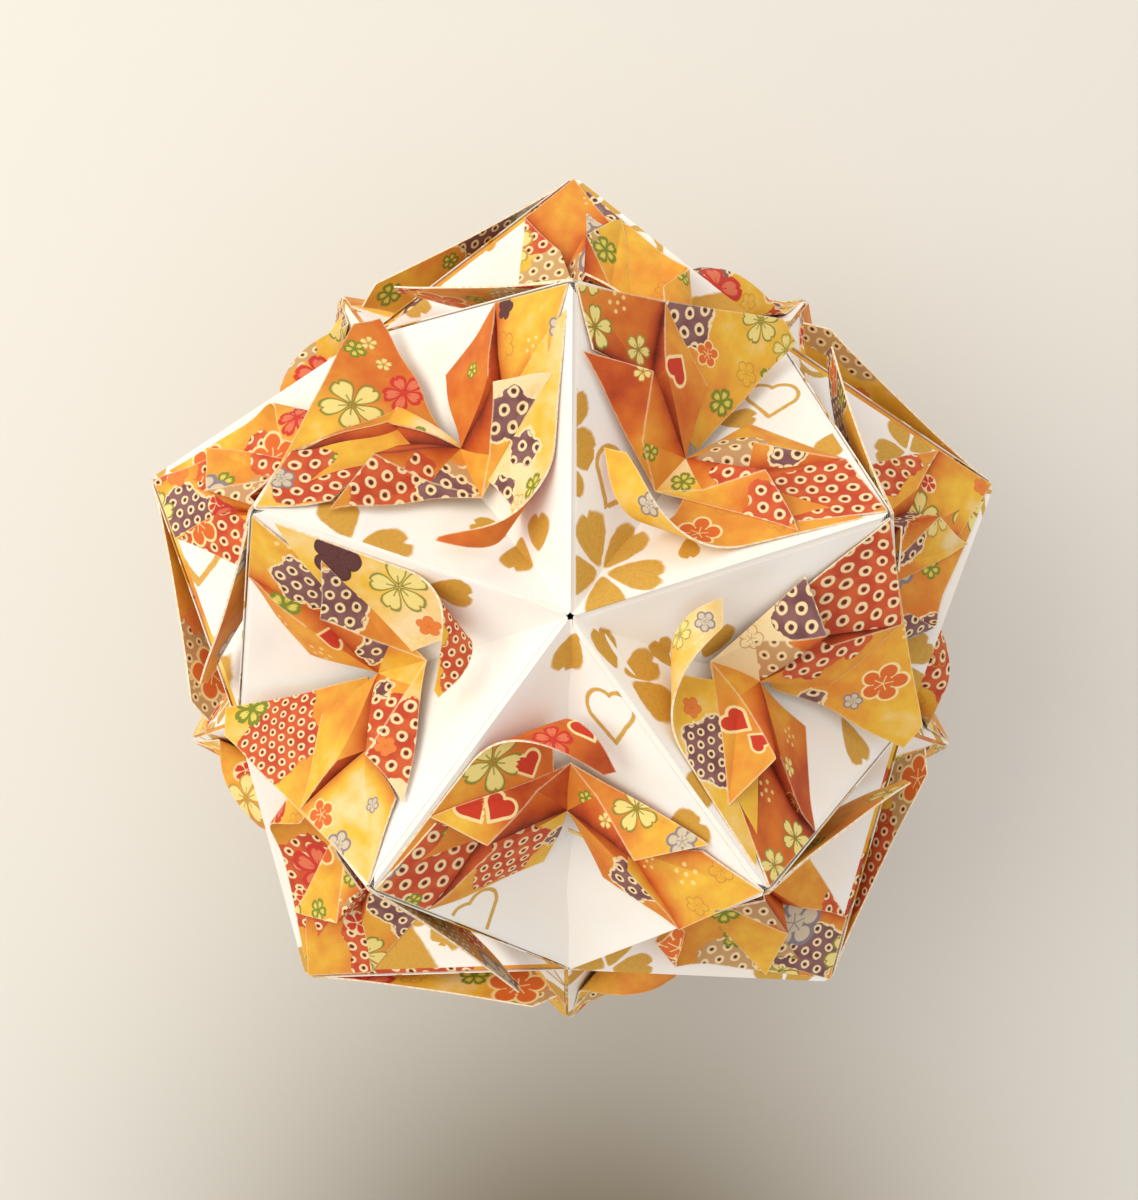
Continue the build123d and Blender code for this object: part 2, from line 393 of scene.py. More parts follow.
def pleatSheet(lift, change):
    # each facet is a triangle's lattice, raised in its middle by 27 times the product of its weights
    weights, small = latticeOf(pleat["count"])
    sheets = []
    for side in (1, -1):
        places = {**pleatPoints, **change.get(side, {})}
        if side == -1:
            for name in ("floor", "backCrest"):
                u, v, n = places[name]
                places[name] = (u, v, n + pleat["floorRise"])
        for name in ("backCorner", "backFoot"):
            u, v, n = places[name]
            rest = float(openHeight(u, v, lift)) if side == -1 else 0.0
            places[name] = (u, v, n + pleat["seat"] + rest)
        spots = {name: wingPoint(side, *place) for name, place in places.items()}
        spots |= {name: np.array(place) for name, place in {**pleatMiddle, **change.get(0, {})}.items()}
        edge = np.linalg.norm(spots["panelTip"] - spots["floor"])
        flat = {"panelTip": np.zeros(2), "floor": np.array([0.0, -edge])}
        for number, names in enumerate(pleatFan):  # each facet shares an edge with the one before it
            corners = np.array([spots[name] for name in names])
            edges = [(names[(k + 1) % 3], names[(k + 2) % 3]) for k in range(3)]  # opposite each corner
            new, (a, b) = next((name, edge) for name, edge in zip(names, edges) if name not in flat)
            reach = [np.linalg.norm(spots[new] - spots[name]) for name in (a, b)]
            flat = {a: flat[a], b: flat[b], new: unfold((flat[a], flat[b]), reach)}
            prints = weights @ np.array([flat[name] for name in names])
            normal = np.cross(corners[1] - corners[0], corners[2] - corners[0])
            area = np.linalg.norm(normal)
            heights = area / np.linalg.norm(corners[[2, 0, 1]] - corners[[1, 2, 0]], axis=1)
            gaps, crease = (np.where([set(edge) in marked for edge in edges], weights * heights, hidden)
                            for marked in (pleatEdges, pleatShadedCreases))
            share = bulges.get(number, pleat["plainBulge"])
            swell = 27 * weights.prod(1, keepdims=True) * pleat["bulge"] * share
            swell = swell * math.sqrt(area / pleat["bulgeArea"])
            points = weights @ corners + swell * normal * side / area
            sheet = {"points": points[small], "print": prints[small] * (side, 1), "gaps": gaps[small],
                     "crease": crease.min(1, keepdims=True)[small]}
            sheet["part"] = np.full(small.shape + (1,), pleatPart[number] + 10 * (side < 0))
            sheets.append({key: value[:, ::side] for key, value in sheet.items()})
    return joinSheets(*sheets)


# Hand folding: a slow wave that moves layers together and dies away at the ridges

handFolding = {
    "waves": 5,
    "length": (9, 22),  # mm
    "amount": 0.12,
    "amountBelow": 0.03,  # of the units that the ball rests on
    "outward": 0.7,  # share of it out of the ball
    "still": 7.0,  # mm from the ridges where the waves die away
    "foldShift": 0.6,  # of a unit's folds, its share out of the ball, and of those over its valley
    "foldOutward": 0.4,
    "middleShift": 0.5,
    "rollShift": {"flat": 1, "outerFall": 0.05},
}
fullTurn = 6.28


def handFolded(verts, rng, amount):
    # adds sines that run along random directions
    x, y, z = verts.T
    inside = smoothStep(half - np.abs(y) - np.abs(x) / math.cos(wingRise), 0.0, handFolding["still"])
    moved = verts.copy()
    for _ in range(handFolding["waves"]):
        direction = rng.normal(size=3)
        direction /= np.linalg.norm(direction)
        pull = rng.normal(size=3) * amount * (1, 1, handFolding["outward"])
        phase = rng.uniform(0, fullTurn)
        wave = np.sin(verts @ direction * fullTurn / rng.uniform(*handFolding["length"]) + phase)
        moved += (wave * inside)[:, None] * pull
    return moved


# Where the units lie

def ringOf(start, height, radius):
    # five places on a circle, 72 degrees apart
    turn = np.radians(start + 72 * np.arange(5))
    return np.stack([radius * np.cos(turn), radius * np.sin(turn), np.full(5, height)], -1)


def unitPlaces():
    top = np.array([0, 0, cornerRadius])
    upper = ringOf(ball["topRingTurn"], cornerRadius / math.sqrt(5), 2 * cornerRadius / math.sqrt(5))
    lower = ringOf(ball["topRingTurn"] + 36, -cornerRadius / math.sqrt(5), 2 * cornerRadius / math.sqrt(5))
    rows = {
        "top_cup_unit": ([top] * 5, upper),
        "upper_ring_unit": (upper, np.roll(upper, -1, 0)),
        "upper_waist_unit": (upper, lower),
        "lower_waist_unit": (lower, np.roll(upper, -1, 0)),
        "lower_ring_unit": (lower, np.roll(lower, -1, 0)),
        "bottom_cup_unit": (lower, [-top] * 5),
    }
    return {f"{row}_{k + 1}": (heads[k], tails[k]) for row, (heads, tails) in rows.items() for k in range(5)}


def toBall(head, tail, points):
    # from a unit's frame to the ball's: Y runs from head to tail, Z out of the ball
    middle = (head + tail) / 2
    out = middle / np.linalg.norm(middle)
    along = (tail - head) / np.linalg.norm(tail - head)
    axes = np.stack([np.cross(along, out), along, out])
    return points @ axes + middle + (0, 0, ball["centreHeight"])


# The photograph's view. Its pixels, in a frame of 1138 x 1200, place the folds and the print of
# the five units that face it.

view = {
    "distance": 236.75,  # mm from the ball's middle
    "aside": (0.372, -3.056),
    "turn": (-0.01788, -0.00355, -0.00609),  # radians, about a turned axis
    "focalPixels": 1450.3,
    "middlePixel": (569, 600),
    "framePixels": 1200,
}
cornerPixels = {
    "top": (568, 617), "upper": (578, 279), "right": (906, 506),
    "lowerRight": (750, 893), "lowerLeft": (380, 890), "left": (242, 516),
}
peakNames = {  # the peaks at +X and -X of each unit
    "top_cup_unit_1": ("right", "upper"), "top_cup_unit_2": ("upper", "left"),
    "top_cup_unit_3": ("left", "lowerLeft"), "top_cup_unit_4": ("lowerLeft", "lowerRight"),
    "top_cup_unit_5": ("lowerRight", "right"),
}
viewTurn = np.array(Matrix.Rotation(Vector(view["turn"]).length, 3, Vector(view["turn"])))
viewLift = np.array([0, 0, ball["centreHeight"]])


def projected(point):
    # the pixel of a place in the ball's frame: focal length times offset over depth
    x, y, z = viewTurn @ (point - viewLift)
    scale = view["focalPixels"] / (view["distance"] - z)
    return (view["middlePixel"][0] + scale * (x + view["aside"][0]),
            view["middlePixel"][1] - scale * (y + view["aside"][1]))


class Sight:
    # lines of sight in one unit's frame. Hand folding moves corners by up to 3 mm, so pixels are
    # first shifted by the plane map that takes the unit's three photographed corners to its own.
    def __init__(self, name, head, tail):
        own = [wingPoint(0, 0, -half, 0), wingPoint(1, half, 0, 0), wingPoint(-1, half, 0, 0)]
        seen = [cornerPixels[corner] for corner in ("top",) + peakNames[name]]
        self.warp = np.linalg.solve(np.c_[seen, np.ones(3)], [projected(toBall(head, tail, p)) for p in own])
        self.middle = toBall(head, tail, np.zeros(3))
        self.axes = np.stack([toBall(head, tail, axis) - self.middle for axis in np.eye(3)])

    def line(self, pixel):
        x, y = np.array([*pixel, 1.0]) @ self.warp
        ahead = np.array([(x - view["middlePixel"][0]), -(y - view["middlePixel"][1]), -view["focalPixels"]])
        start = viewTurn.T @ (-view["aside"][0], -view["aside"][1], view["distance"]) + viewLift
        return self.axes @ (start - self.middle), self.axes @ (viewTurn.T @ ahead) / view["focalPixels"]

    def onWing(self, side, pixel, height):
        # u and v of the pixel on a plane at a height over the wing
        start, ahead = self.line(pixel)
        out = wingPoint(side, 0, 0, 1)
        place = start + ahead * (height - start @ out) / (ahead @ out)
        return float(place @ wingPoint(side, 1, 0, 0)), float(place[1])

    def onBody(self, pixel):
        # the pixel's place on the white body's print
        side = 1 if self.onWing(1, pixel, 0)[0] > 0 else -1
        u, v = self.onWing(side, pixel, 0)
        return np.array([side * u, v])

    def onMiddle(self, pixel, height):
        start, ahead = self.line(pixel)
        return tuple(start + ahead * (height - start[2]) / ahead[2])


# Folds of the five units, by pixel: sides 1 and -1, and 0 for the points over the valley
foldPixels = {
    "top_cup_unit_1": {
        0: {"head": (659, 490), "tail": (693, 454)},
        1: {"hinge": (806, 526), "outerCrest": (775, 465), "innerCrest": (709, 487),
            "backCorner": (858, 453), "backCrest": (762, 437), "backFoot": (757, 422)},
        -1: {"hinge": (587, 351), "outerCrest": (658, 371), "innerCrest": (648, 440),
            "backCorner": (667, 296), "backCrest": (668, 368), "backFoot": (713, 384)},
    },
    "top_cup_unit_2": {
        0: {"head": (480, 496), "tail": (460, 450)},
        1: {"hinge": (555, 377), "outerCrest": (492, 382), "innerCrest": (490, 454),
            "backCorner": (505, 295), "backCrest": (486, 377), "backFoot": (445, 381)},
        -1: {"hinge": (322, 517), "outerCrest": (370, 459), "innerCrest": (430, 486),
            "backCrest": (395, 417)},
    },
    "top_cup_unit_3": {
        0: {"head": (428, 663), "tail": (381, 675)},
        1: {"hinge": (317, 564), "outerCrest": (316, 625), "innerCrest": (388, 647),
            "backCorner": (241, 577), "backCrest": (307, 632), "backFoot": (310, 657)},
        -1: {"hinge": (409, 803), "outerCrest": (366, 756), "innerCrest": (415, 686),
            "backCorner": (313, 814), "backCrest": (348, 762), "backFoot": (328, 718)},
    },
    "top_cup_unit_4": {
        0: {"head": (568, 762), "tail": (563, 811)},
        1: {"hinge": (437, 817), "outerCrest": (491, 845), "innerCrest": (536, 789),
            "backCorner": (434, 909), "backCrest": (496, 853), "backFoot": (543, 862)},
        -1: {"hinge": (694, 845), "outerCrest": (627, 861), "innerCrest": (592, 797),
            "backCorner": (672, 928), "backCrest": (622, 865), "backFoot": (596, 877)},
    },
    "top_cup_unit_5": {
        0: {"head": (709, 659), "tail": (755, 679)},
        1: {"hinge": (716, 805), "outerCrest": (765, 760), "innerCrest": (732, 697),
            "backCorner": (802, 839), "backCrest": (771, 757), "backFoot": (798, 728)},
        -1: {"hinge": (813, 571), "outerCrest": (831, 629), "innerCrest": (752, 639),
            "backCorner": (908, 608), "backCrest": (833, 634), "backFoot": (826, 678)},
    },
}
foldRoom = {  # mm: least u, least distance to the ridge, and what follows the marked folds
    "valley": 1.5, "ridge": 0.6, "panel": (-0.8, 1.4), "floor": 2,
}
rolls = {
    "top_cup_unit_1": {"flat": 11.5, "outerFall": 1.17, "valleyEdge": 4.5, "innerFall": 0.6},
    "top_cup_unit_2": {"flat": 13.0, "outerFall": 1.22},
    "top_cup_unit_3": {"flat": 14.0, "outerFall": 1.04, "radius": 3.2, "innerFall": 0.25, "length": 26.5},
    "top_cup_unit_4": {"flat": 13.5, "outerFall": 1.03, "radius": 3.6, "innerFall": 0.3, "length": 27.0},
    "top_cup_unit_5": {"flat": 13.0, "outerFall": 1.10},
}


def foldsOf(name, head, tail):
    # the pixels' places at each fold's usual height, kept a little inside the wing
    sight, change = Sight(name, head, tail), {}
    for side, pixels in foldPixels[name].items():
        own = change[side] = {}
        for point, pixel in pixels.items():
            if side == 0:
                height = pleatMiddle[point][2]
                own[point] = sight.onMiddle(pixel, height)[:2] + (height,)
                continue
            u, v, height = pleatPoints[point]
            rest = float(openHeight(u, v, lean["lift"])) if side < 0 and height == 0 else 0
            u, v = sight.onWing(side, pixel, height + rest)
            own[point] = (min(max(u, foldRoom["valley"]), half - foldRoom["ridge"] - abs(v)), v, height)
        if "hinge" in own:
            u, v, _ = own["hinge"]
            alongU, alongV = foldRoom["panel"]
            own["panelCorner"] = (u + alongU, v + alongV, pleatPoints["panelCorner"][2])
        if "outerCrest" in own:
            crest, back = own["outerCrest"], own.get("backCrest", pleatPoints["backCrest"])
            middle = (crest[0] + back[0]) / 2 - foldRoom["floor"]
            own["floor"] = (middle, (crest[1] + back[1]) / 2, pleatPoints["floor"][2])
    return change


# Prints: motifs and fields of colour

def srgb(red, green, blue, share=1.0):
    # a colour as it looks on screen, 0 to 255, in Blender's linear values, and its share
    values = np.array([red, green, blue]) / 255
    return tuple(np.where(values <= 0.04045, values / 12.92, ((values + 0.055) / 1.055) ** 2.4)) + (share,)


def motif(form, fill, line):
    # form holds three values: 0 for notched petals, 1 for round ones, 2 for a heart, 3 for one
    # notched petal or 4 for spots; the outline's width; how far a pale disc shows
    fill, line = (srgb(*colour) if colour else (0, 0, 0, 0) for colour in (fill, line))
    return {"Form": form, "Fill": fill, "Line": line}


motifs = {
    "leafSakura": motif((0, 0.05, 0), (240, 220, 136), (132, 130, 44)),
    "creamSakura": motif((0, 0.05, 0), (242, 218, 140), (184, 144, 56)),
    "redSakura": motif((0, 0.12, 0), (226, 118, 84), (204, 56, 44)),
    "redHearts": motif((0, 0.0, 1), (206, 62, 36), (247, 222, 170)),
    "redHeart": motif((2, 0.16, 0), (204, 58, 34), (248, 222, 160)),
    "orangeUme": motif((1, 0.10, 0), (222, 108, 42), (250, 224, 160)),
    "greyUme": motif((1, 0.16, 0), (212, 196, 168), (140, 128, 134)),
    "purpleUme": motif((1, 0.10, 0), (92, 54, 56), (84, 46, 46)),
    "leafSmall": motif((0, 0.16, 0), (226, 208, 96), (124, 136, 40)),
    "orangeSmall": motif((1, 0.05, 0), (232, 134, 62), (216, 100, 40)),
    "paleSpots": motif((4, 0.0, 0), (252, 226, 150, 0.75), None),
    "swirl": motif((1, 0.08, 0), None, (200, 140, 56)),
    "goldSakura": motif((0, 0.0, 0), (216, 168, 74), (216, 168, 74)),
    "goldPetal": motif((3, 0.0, 0), (214, 162, 66), (214, 162, 66)),
    "goldHeart": motif((2, 0.13, 0), None, (216, 172, 84)),
}
# places on the colour ramp; shade, its darkest end, is painted shade for deep valleys and folds
tones = {"cream": 0.0, "yellow": 0.2, "amber": 0.38, "orange": 0.58, "deep": 0.78, "shade": 1.0}
fieldKinds = ["red", "purple", "pale"]  # grounds that carry ringed dots
printing = {  # what is scattered: step and radii in mm, the share of places that are filled
    "tone": {"kinds": ["cream", "yellow", "amber", "amber", "orange"],
             "step": 13.0, "radius": (1, 1), "share": 1.0},
    "field": {"kinds": fieldKinds + ["bare"] * 2, "step": 19.0, "radius": (6.0, 10.5), "share": 1.0},
    "large": {"kinds": ["leafSakura", "creamSakura", "orangeUme", "greyUme", "redSakura", "leafSakura"],
              "step": 15.0, "radius": (3.0, 4.8), "share": 0.7},
    "small": {"kinds": ["redHearts", "leafSmall", "orangeSmall", "swirl", "swirl", "leafSmall", "paleSpots"],
              "step": 8.5, "radius": (1.3, 2.2), "share": 0.7},
    "gold": {"kinds": ["goldSakura", "goldSakura", "goldHeart", "goldPetal"],
             "step": 17.5, "radius": (6.0, 8.5), "share": 0.8},
    "thinGold": {"kinds": ["goldHeart"], "step": 30.0, "radius": (3.5, 4.5), "share": 0.3},
    "pitch": (2.1, 2.6),  # of the ringed dots
    "plainPitch": 3.0,
    "jitter": 0.26,  # share of a step
    "extra": ["swirl", "paleSpots"],  # scattered between the prints that the photograph shows
    "extraShare": 0.35,
    "lobes": 0.13,  # how far a field's five lobes stand out, as a share of its radius
    "spread": 3,  # square mm, softens the change from tone to tone
    # painted shade: the tone darkens near the deep folds, by exp(-distance / width)
    "creaseTone": 0.46,
    "creaseWidth": 1.8,  # mm
    "margin": 12.0,
    "wide": 2.4,  # mm, the radius from which a motif is large
}

# The print that the photograph shows, by the stretch of paper it lies on. A name starts with its
# kind or tone; then come its pixel and a radius in pixels, or the pixel of its tip or point.
printPixels = {
    "top_cup_unit_1": {
        "upperPanel": {"orange": (612, 330), "amber": (590, 300), "leafSakura": (594, 277, 20),
            "leafSakuraMiddle": (599, 327, 25), "leafSakuraLast": (644, 350, 17),
            "paleSpots": (625, 302, 15)},
        "upperFold": {"deep": (622, 389), "creamSakura": (647, 372, 10)},
        "upperInner": {"amber": (666, 407)},
        "upperBack": {"orange": (689, 398)},
        "flapStart": {"purple": (698, 315, 30)},
        "upperBackLow": {"redHeart": (685, 366, 690, 353), "amber": (694, 350)},
        "flap": {"yellow": (753, 352), "amber": (712, 372), "orangeUme": (716, 350, 15),
            "leafSakura": (773, 317, 24), "leafSakuraTip": (799, 345, 17), "leafSmall": (781, 376, 13),
            "leafSmallLow": (728, 400, 14)},
        "light": {"pale": (745, 451, 34), "amber": (738, 452), "purple": (797, 446, 17)},
        "panel": {"red": (833, 492, 62), "pitch": (833, 492, 19)},
        "fold": {"amber": (730, 494), "orange": (758, 500), "red": (779, 503, 30)},
        "inner": {"cream": (700, 470), "leafSmall": (689, 479, 13), "red": (742, 468, 24)},
        "body": {"amber": (659, 462), "leafSmall": (656, 450, 10)},
        "curl": {"amber": (698, 524), "orangeUme": (702, 532, 24), "greyUme": (651, 504, 13),
            "yellow": (622, 496), "yellowTipEdge": (640, 515)},
        "gold": {"goldPetal": (562, 436, 583, 388), "goldPetalRidge": (558, 450, 600, 448),
            "goldPetalRidgeLower": (556, 458, 578, 500), "goldHeart": (617, 480, 606, 508),
            "goldSakura": (603, 572, 586, 512), "goldPetalFlap": (722, 421, 763, 414),
            "goldHeartFlap": (781, 396, 777, 414), "goldPetalCurl": (690, 537, 694, 556),
            "goldPetalFar": (850, 425, 835, 450)},
    },
    "top_cup_unit_2": {
        "panel": {"yellow": (538, 334), "yellowUp": (556, 306), "yellowLow": (546, 362),
            "yellowSide": (519, 330), "paleSpots": (535, 350, 15), "greyUme": (563, 328, 13),
            "purpleUme": (509, 309, 12)},
        "fold": {"cream": (526, 394), "purple": (511, 417, 27)},
        "inner": {"orange": (480, 417)},
        "body": {"amber": (478, 461)},
        "curl": {"yellow": (547, 440), "purple": (524, 452, 17), "purpleLow": (500, 492, 16),
            "leafSmall": (533, 490, 13), "orange": (482, 539), "cream": (520, 490)},
        "back": {"orange": (473, 369), "leafSmall": (472, 372, 9)},
        "flap": {"orange": (372, 382), "orangeTop": (395, 327), "yellow": (338, 442),
            "leafSakura": (349, 410, 34), "redSakura": (401, 397, 23), "leafSmall": (354, 353, 11),
            "creamSakura": (367, 346, 9), "creamSakuraLow": (381, 367, 9), "greyUme": (411, 350, 11)},
        "left": {"red": (306, 478, 46), "cream": (268, 485), "yellow": (290, 506),
            "greyUme": (275, 483, 14), "leafSmall": (337, 464, 11)},
        "leftFold": {"red": (379, 488, 42), "purple": (446, 497, 27)},
        "leftInner": {"red": (420, 472, 17), "pale": (457, 481, 22), "amber": (457, 481)},
        "gold": {"goldPetal": (540, 554, 541, 516), "goldPetalDown": (524, 537, 511, 570),
            "goldPetalLeft": (507, 536, 470, 522), "goldPetalFar": (350, 553, 407, 543),
            "goldPetalFarUp": (345, 543, 325, 506)},
    },
    "top_cup_unit_3": {
        "curl": {"yellow": (372, 572), "cream": (430, 640), "purpleUme": (332, 562, 27),
            "leafSakura": (398, 590, 33), "red": (452, 617, 27), "orangeSmall": (427, 628, 14),
            "redTip": (470, 672, 34), "redEnd": (464, 640, 24), "pitch": (452, 617, 13)},
        "panel": {"yellow": (262, 551), "purple": (296, 586, 27), "leafSmall": (282, 609, 17),
            "purpleLow": (314, 603, 14)},
        "fold": {"purple": (338, 600, 34), "amber": (385, 634), "orange": (372, 630)},
        "inner": {"amber": (345, 645), "purple": (376, 652, 17), "redHeart": (330, 642, 317, 640)},
        "body": {"yellow": (401, 671), "yellowLow": (392, 668)},
        "back": {"amber": (345, 668)},
        "lowerFold": {"red": (409, 745, 44), "orangeSmall": (386, 748, 12)},
        "lowerInner": {"red": (386, 718, 30), "purple": (388, 690, 10)},
        "lowerPanel": {"cream": (372, 800), "creamUp": (392, 778), "creamLow": (352, 866),
            "yellow": (362, 840), "orangeUme": (330, 816, 18), "greyUme": (346, 846, 15),
            "greyUmeHigh": (379, 806, 8)},
        "lowerBack": {"yellow": (340, 755), "amber": (355, 720)},
        "flap": {"red": (284, 735, 48), "pitch": (290, 735, 13), "leafSmall": (253, 712, 19),
            "yellow": (262, 745), "amber": (335, 745)},
        "gold": {"goldPetal": (425, 588, 468, 598)},
    },
    "top_cup_unit_4": {
        "left": {"red": (436, 866, 56), "pitch": (436, 866, 21), "cream": (396, 872),
            "greyUme": (397, 866, 16), "leafSmall": (456, 836, 11), "leafSmallDown": (421, 900, 10)},
        # the deep tones at (522, 794) and (556, 800) are painted shade in the valleys beside the pleats
        "fold": {"yellow": (466, 816), "deep": (522, 794), "redHeart": (476, 808, 485, 822),
            "redHeartRight": (499, 808, 491, 822)},
        "inner": {"orange": (534, 808), "deep": (556, 800)},
        "back": {"red": (510, 855, 44), "purple": (552, 835, 12)},
        "rightFold": {"yellow": (660, 828), "orange": (612, 815), "leafSakura": (628, 810, 25),
            "greyUme": (670, 842, 15)},
        "rightInner": {"orange": (592, 806), "leafSmall": (582, 799, 9), "creamSakura": (600, 822, 9)},
        "rightPanel": {"yellow": (676, 884), "amber": (636, 872), "yellowLow": (672, 906),
            "yellowEdge": (715, 893), "yellowUp": (698, 864), "paleSpots": (676, 872, 16),
            "swirl": (706, 870, 14), "swirlLow": (684, 905, 13), "greyUme": (708, 918, 11)},
        "strip": {"cream": (648, 905), "purple": (624, 882, 26)},
        "rightBack": {"amber": (600, 853), "orange": (590, 868)},
        "curl": {"amber": (470, 775), "orange": (540, 748), "leafSakura": (496, 762, 36),
            "redSakura": (552, 740, 20), "redHeart": (529, 763, 533, 774), "deep": (596, 756),
            "orangeTipUpper": (574, 736), "redHeartTip": (583, 729, 592, 740),
            "redHeartTipTop": (580, 715, 590, 720)},
        "gold": {"goldPetal": (574, 634, 560, 671), "goldHeart": (606, 716, 611, 741),
            "goldPetalFold": (656, 842, 688, 822), "goldHeartLow": (480, 914, 488, 930)},
    },
    "top_cup_unit_5": {
        "upperPanel": {"red": (872, 572, 86), "pitch": (876, 567, 20)},
        "upperFold": {"cream": (785, 602), "purple": (812, 606, 36)},
        "upperInner": {"pale": (769, 653, 34), "amber": (769, 653)},
        "upperBack": {"red": (811, 655, 27), "amber": (800, 672)},
        "flap": {"amber": (846, 676), "yellow": (889, 728)},
        "backFar": {"red": (852, 634, 24)},
        "flapEnd": {"orangeUme": (885, 675, 26), "greyUme": (850, 696, 12), "purple": (807, 697, 12)},
        "fold": {"amber": (738, 772), "amberUp": (722, 700), "redHeart": (727, 725, 737, 736),
            "redHeartRight": (747, 744, 738, 738)},
        "panel": {"orange": (760, 815), "leafSakura": (782, 835, 22), "leafSakuraLow": (757, 864, 19),
            "paleSpots": (752, 792, 14)},
        "back": {"deep": (790, 781), "creamSakura": (781, 765, 11)},
        "body": {"amber": (742, 700)},
        "inner": {"amber": (775, 712)},
        "curl": {"yellow": (690, 680), "leafSmall": (689, 666, 12), "orangeSmall": (686, 706, 13),
            "purple": (702, 752, 34), "pitch": (702, 752, 14), "yellowUpper": (676, 640),
            "leafSakura": (677, 634, 15), "cream": (702, 618), "greyUme": (706, 620, 11)},
        "gold": {"goldPetal": (612, 668, 597, 627), "goldPetalRidge": (620, 672, 651, 656),
            "goldPetalRidgeLow": (626, 680, 668, 713), "goldPetalTip": (704, 655, 722, 624),
            "goldPetalCurl": (670, 662, 655, 636), "goldPetalLow": (704, 766, 680, 798),
            "goldPetalFar": (836, 716, 858, 758)},
    },
}


def scatter(rng, low, high, group, share):
    # motifs on a jittered lattice over a rectangle: their kinds, places, radii and turns
    count = np.ceil((high - low) / group["step"]).astype(int) + 1
    x, y = np.meshgrid(np.arange(count[0]), np.arange(count[1]), indexing="ij")
    lattice = np.stack([x + 0.5 * (y % 2), y], -1).reshape(-1, 2)
    jitter = rng.uniform(-printing["jitter"], printing["jitter"], lattice.shape)
    places = low + group["step"] * (lattice + jitter)
    places = places[rng.random(len(places)) < share]
    return {
        "kind": rng.choice(group["kinds"], len(places)), "place": places,
        "radius": rng.uniform(*group["radius"], len(places)), "turn": rng.uniform(0, fullTurn, len(places)),
    }


def acrossPlanes(shell, line):
    # where a line meets each triangle's plane: the weights of its corners there, and how far
    start, ahead = line
    a, b, c = (shell["verts"][shell["faces"][:, k]] for k in range(3))
    normal = np.cross(b - a, c - a)
    with np.errstate(divide="ignore", invalid="ignore"):
        far = ((a - start) * normal).sum(1) / (normal @ ahead)
        place = start + far[:, None] * ahead
        areas = [(np.cross(r - q, place - q) * normal).sum(1) for q, r in ((b, c), (c, a), (a, b))]
        return np.stack(areas, -1) / (normal ** 2).sum(1)[:, None], far


printKinds = [*motifs, *tones, *fieldKinds, "pitch"]
pleatSheets = tuple(range(10, 30))  # numbers of the pleats' stretches of print
flapSheets = {"curl": (3, 3 + underside), "flap": (4,)}  # by the start of an area's name
petalTip = 0.94  # how far a blossom's petals reach, and a heart's point, as a share of its radius
heartTip = 0.78


def seenMarks(name, head, tail, shell, rng):
    # the photograph's print on a unit: stretch of print, kind, place, radius and turn of each
    sight, marks = Sight(name, head, tail), []
    rows = [(area, label, *row) for area, rows in printPixels[name].items() for label, row in rows.items()]
    for area, label, x, y, *size in rows:
        kind = max((kind for kind in printKinds if label.startswith(kind)), key=len)
        turn, part = rng.uniform(0, fullTurn), 0
        if area == "gold":
            place = sight.onBody((x, y))
            reach = sight.onBody(size) - place
        else:
            weights, far = acrossPlanes(shell, sight.line((x, y)))
            sheets = flapSheets.get(area[:4], pleatSheets)
            inside = np.where(np.isin(shell["part"], sheets), weights.min(1), -np.inf)
            onSheet = inside > -1e-6
            hit = np.where(onSheet, far, np.inf).argmin() if onSheet.any() else inside.argmax()
            part, place = shell["part"][hit], weights[hit] @ shell["print"][hit]
            radius = (size or [1])[0] * far[hit] / view["focalPixels"]
            if kind == "redHeart":
                reach = acrossPlanes(shell, sight.line(size))[0][hit] @ shell["print"][hit] - place
        if len(size) == 2:
            radius, turn = np.linalg.norm(reach), math.atan2(reach[1], reach[0])
        if kind == "goldPetal":  # its own middle stands for it
            place, radius = place + reach / 2, radius / 2
        elif kind == "goldSakura":
            radius = radius / petalTip
        elif len(size) == 2:
            turn, radius = turn + math.pi / 2, radius / heartTip
        marks.append((part, kind, place, radius, turn))
    return marks


def gathered(marks):
    return dict(zip(("kind", "place", "radius", "turn"), map(np.array, zip(*marks))))


def marksFor(group, low, high, seen, rng):
    # one group's marks on a stretch of print: those seen there, or scattered ones
    settings = printing[group]
    flat = [mark[1:] for mark in seen if mark[1] in motifs]
    hearts, others = ([m for m in flat if (m[0] == "goldHeart") == heart] for heart in (True, False))
    if group in ("large", "small"):
        shown = [mark for mark in flat if (mark[2] > printing["wide"]) == (group == "large")]
    elif group == "gold":
        shown = others[::2]
    elif group == "thinGold":  # the rest of them: neighbours on one layer would cut each other
        shown = hearts + others[1::2]
    else:
        kinds = tones if group == "tone" else settings["kinds"]
        shown = [mark[1:] for mark in seen if mark[1] in kinds]
    if not seen or (group == "tone" and not shown):
        return scatter(rng, low, high, settings, settings["share"])
    if group != "small":
        return gathered(shown) if shown else None
    extra = scatter(rng, low, high, {**settings, "kinds": printing["extra"]}, printing["extraShare"])
    free = [all(np.linalg.norm(place - mark[2]) > mark[3] + radius for mark in seen)
            for place, radius in zip(extra["place"], extra["radius"])]
    extra = {key: value[np.array(free, bool)] for key, value in extra.items()}
    own = gathered(shown) if shown else {}
    return {key: np.concatenate([extra[key], own[key]]) if own else extra[key] for key in extra}


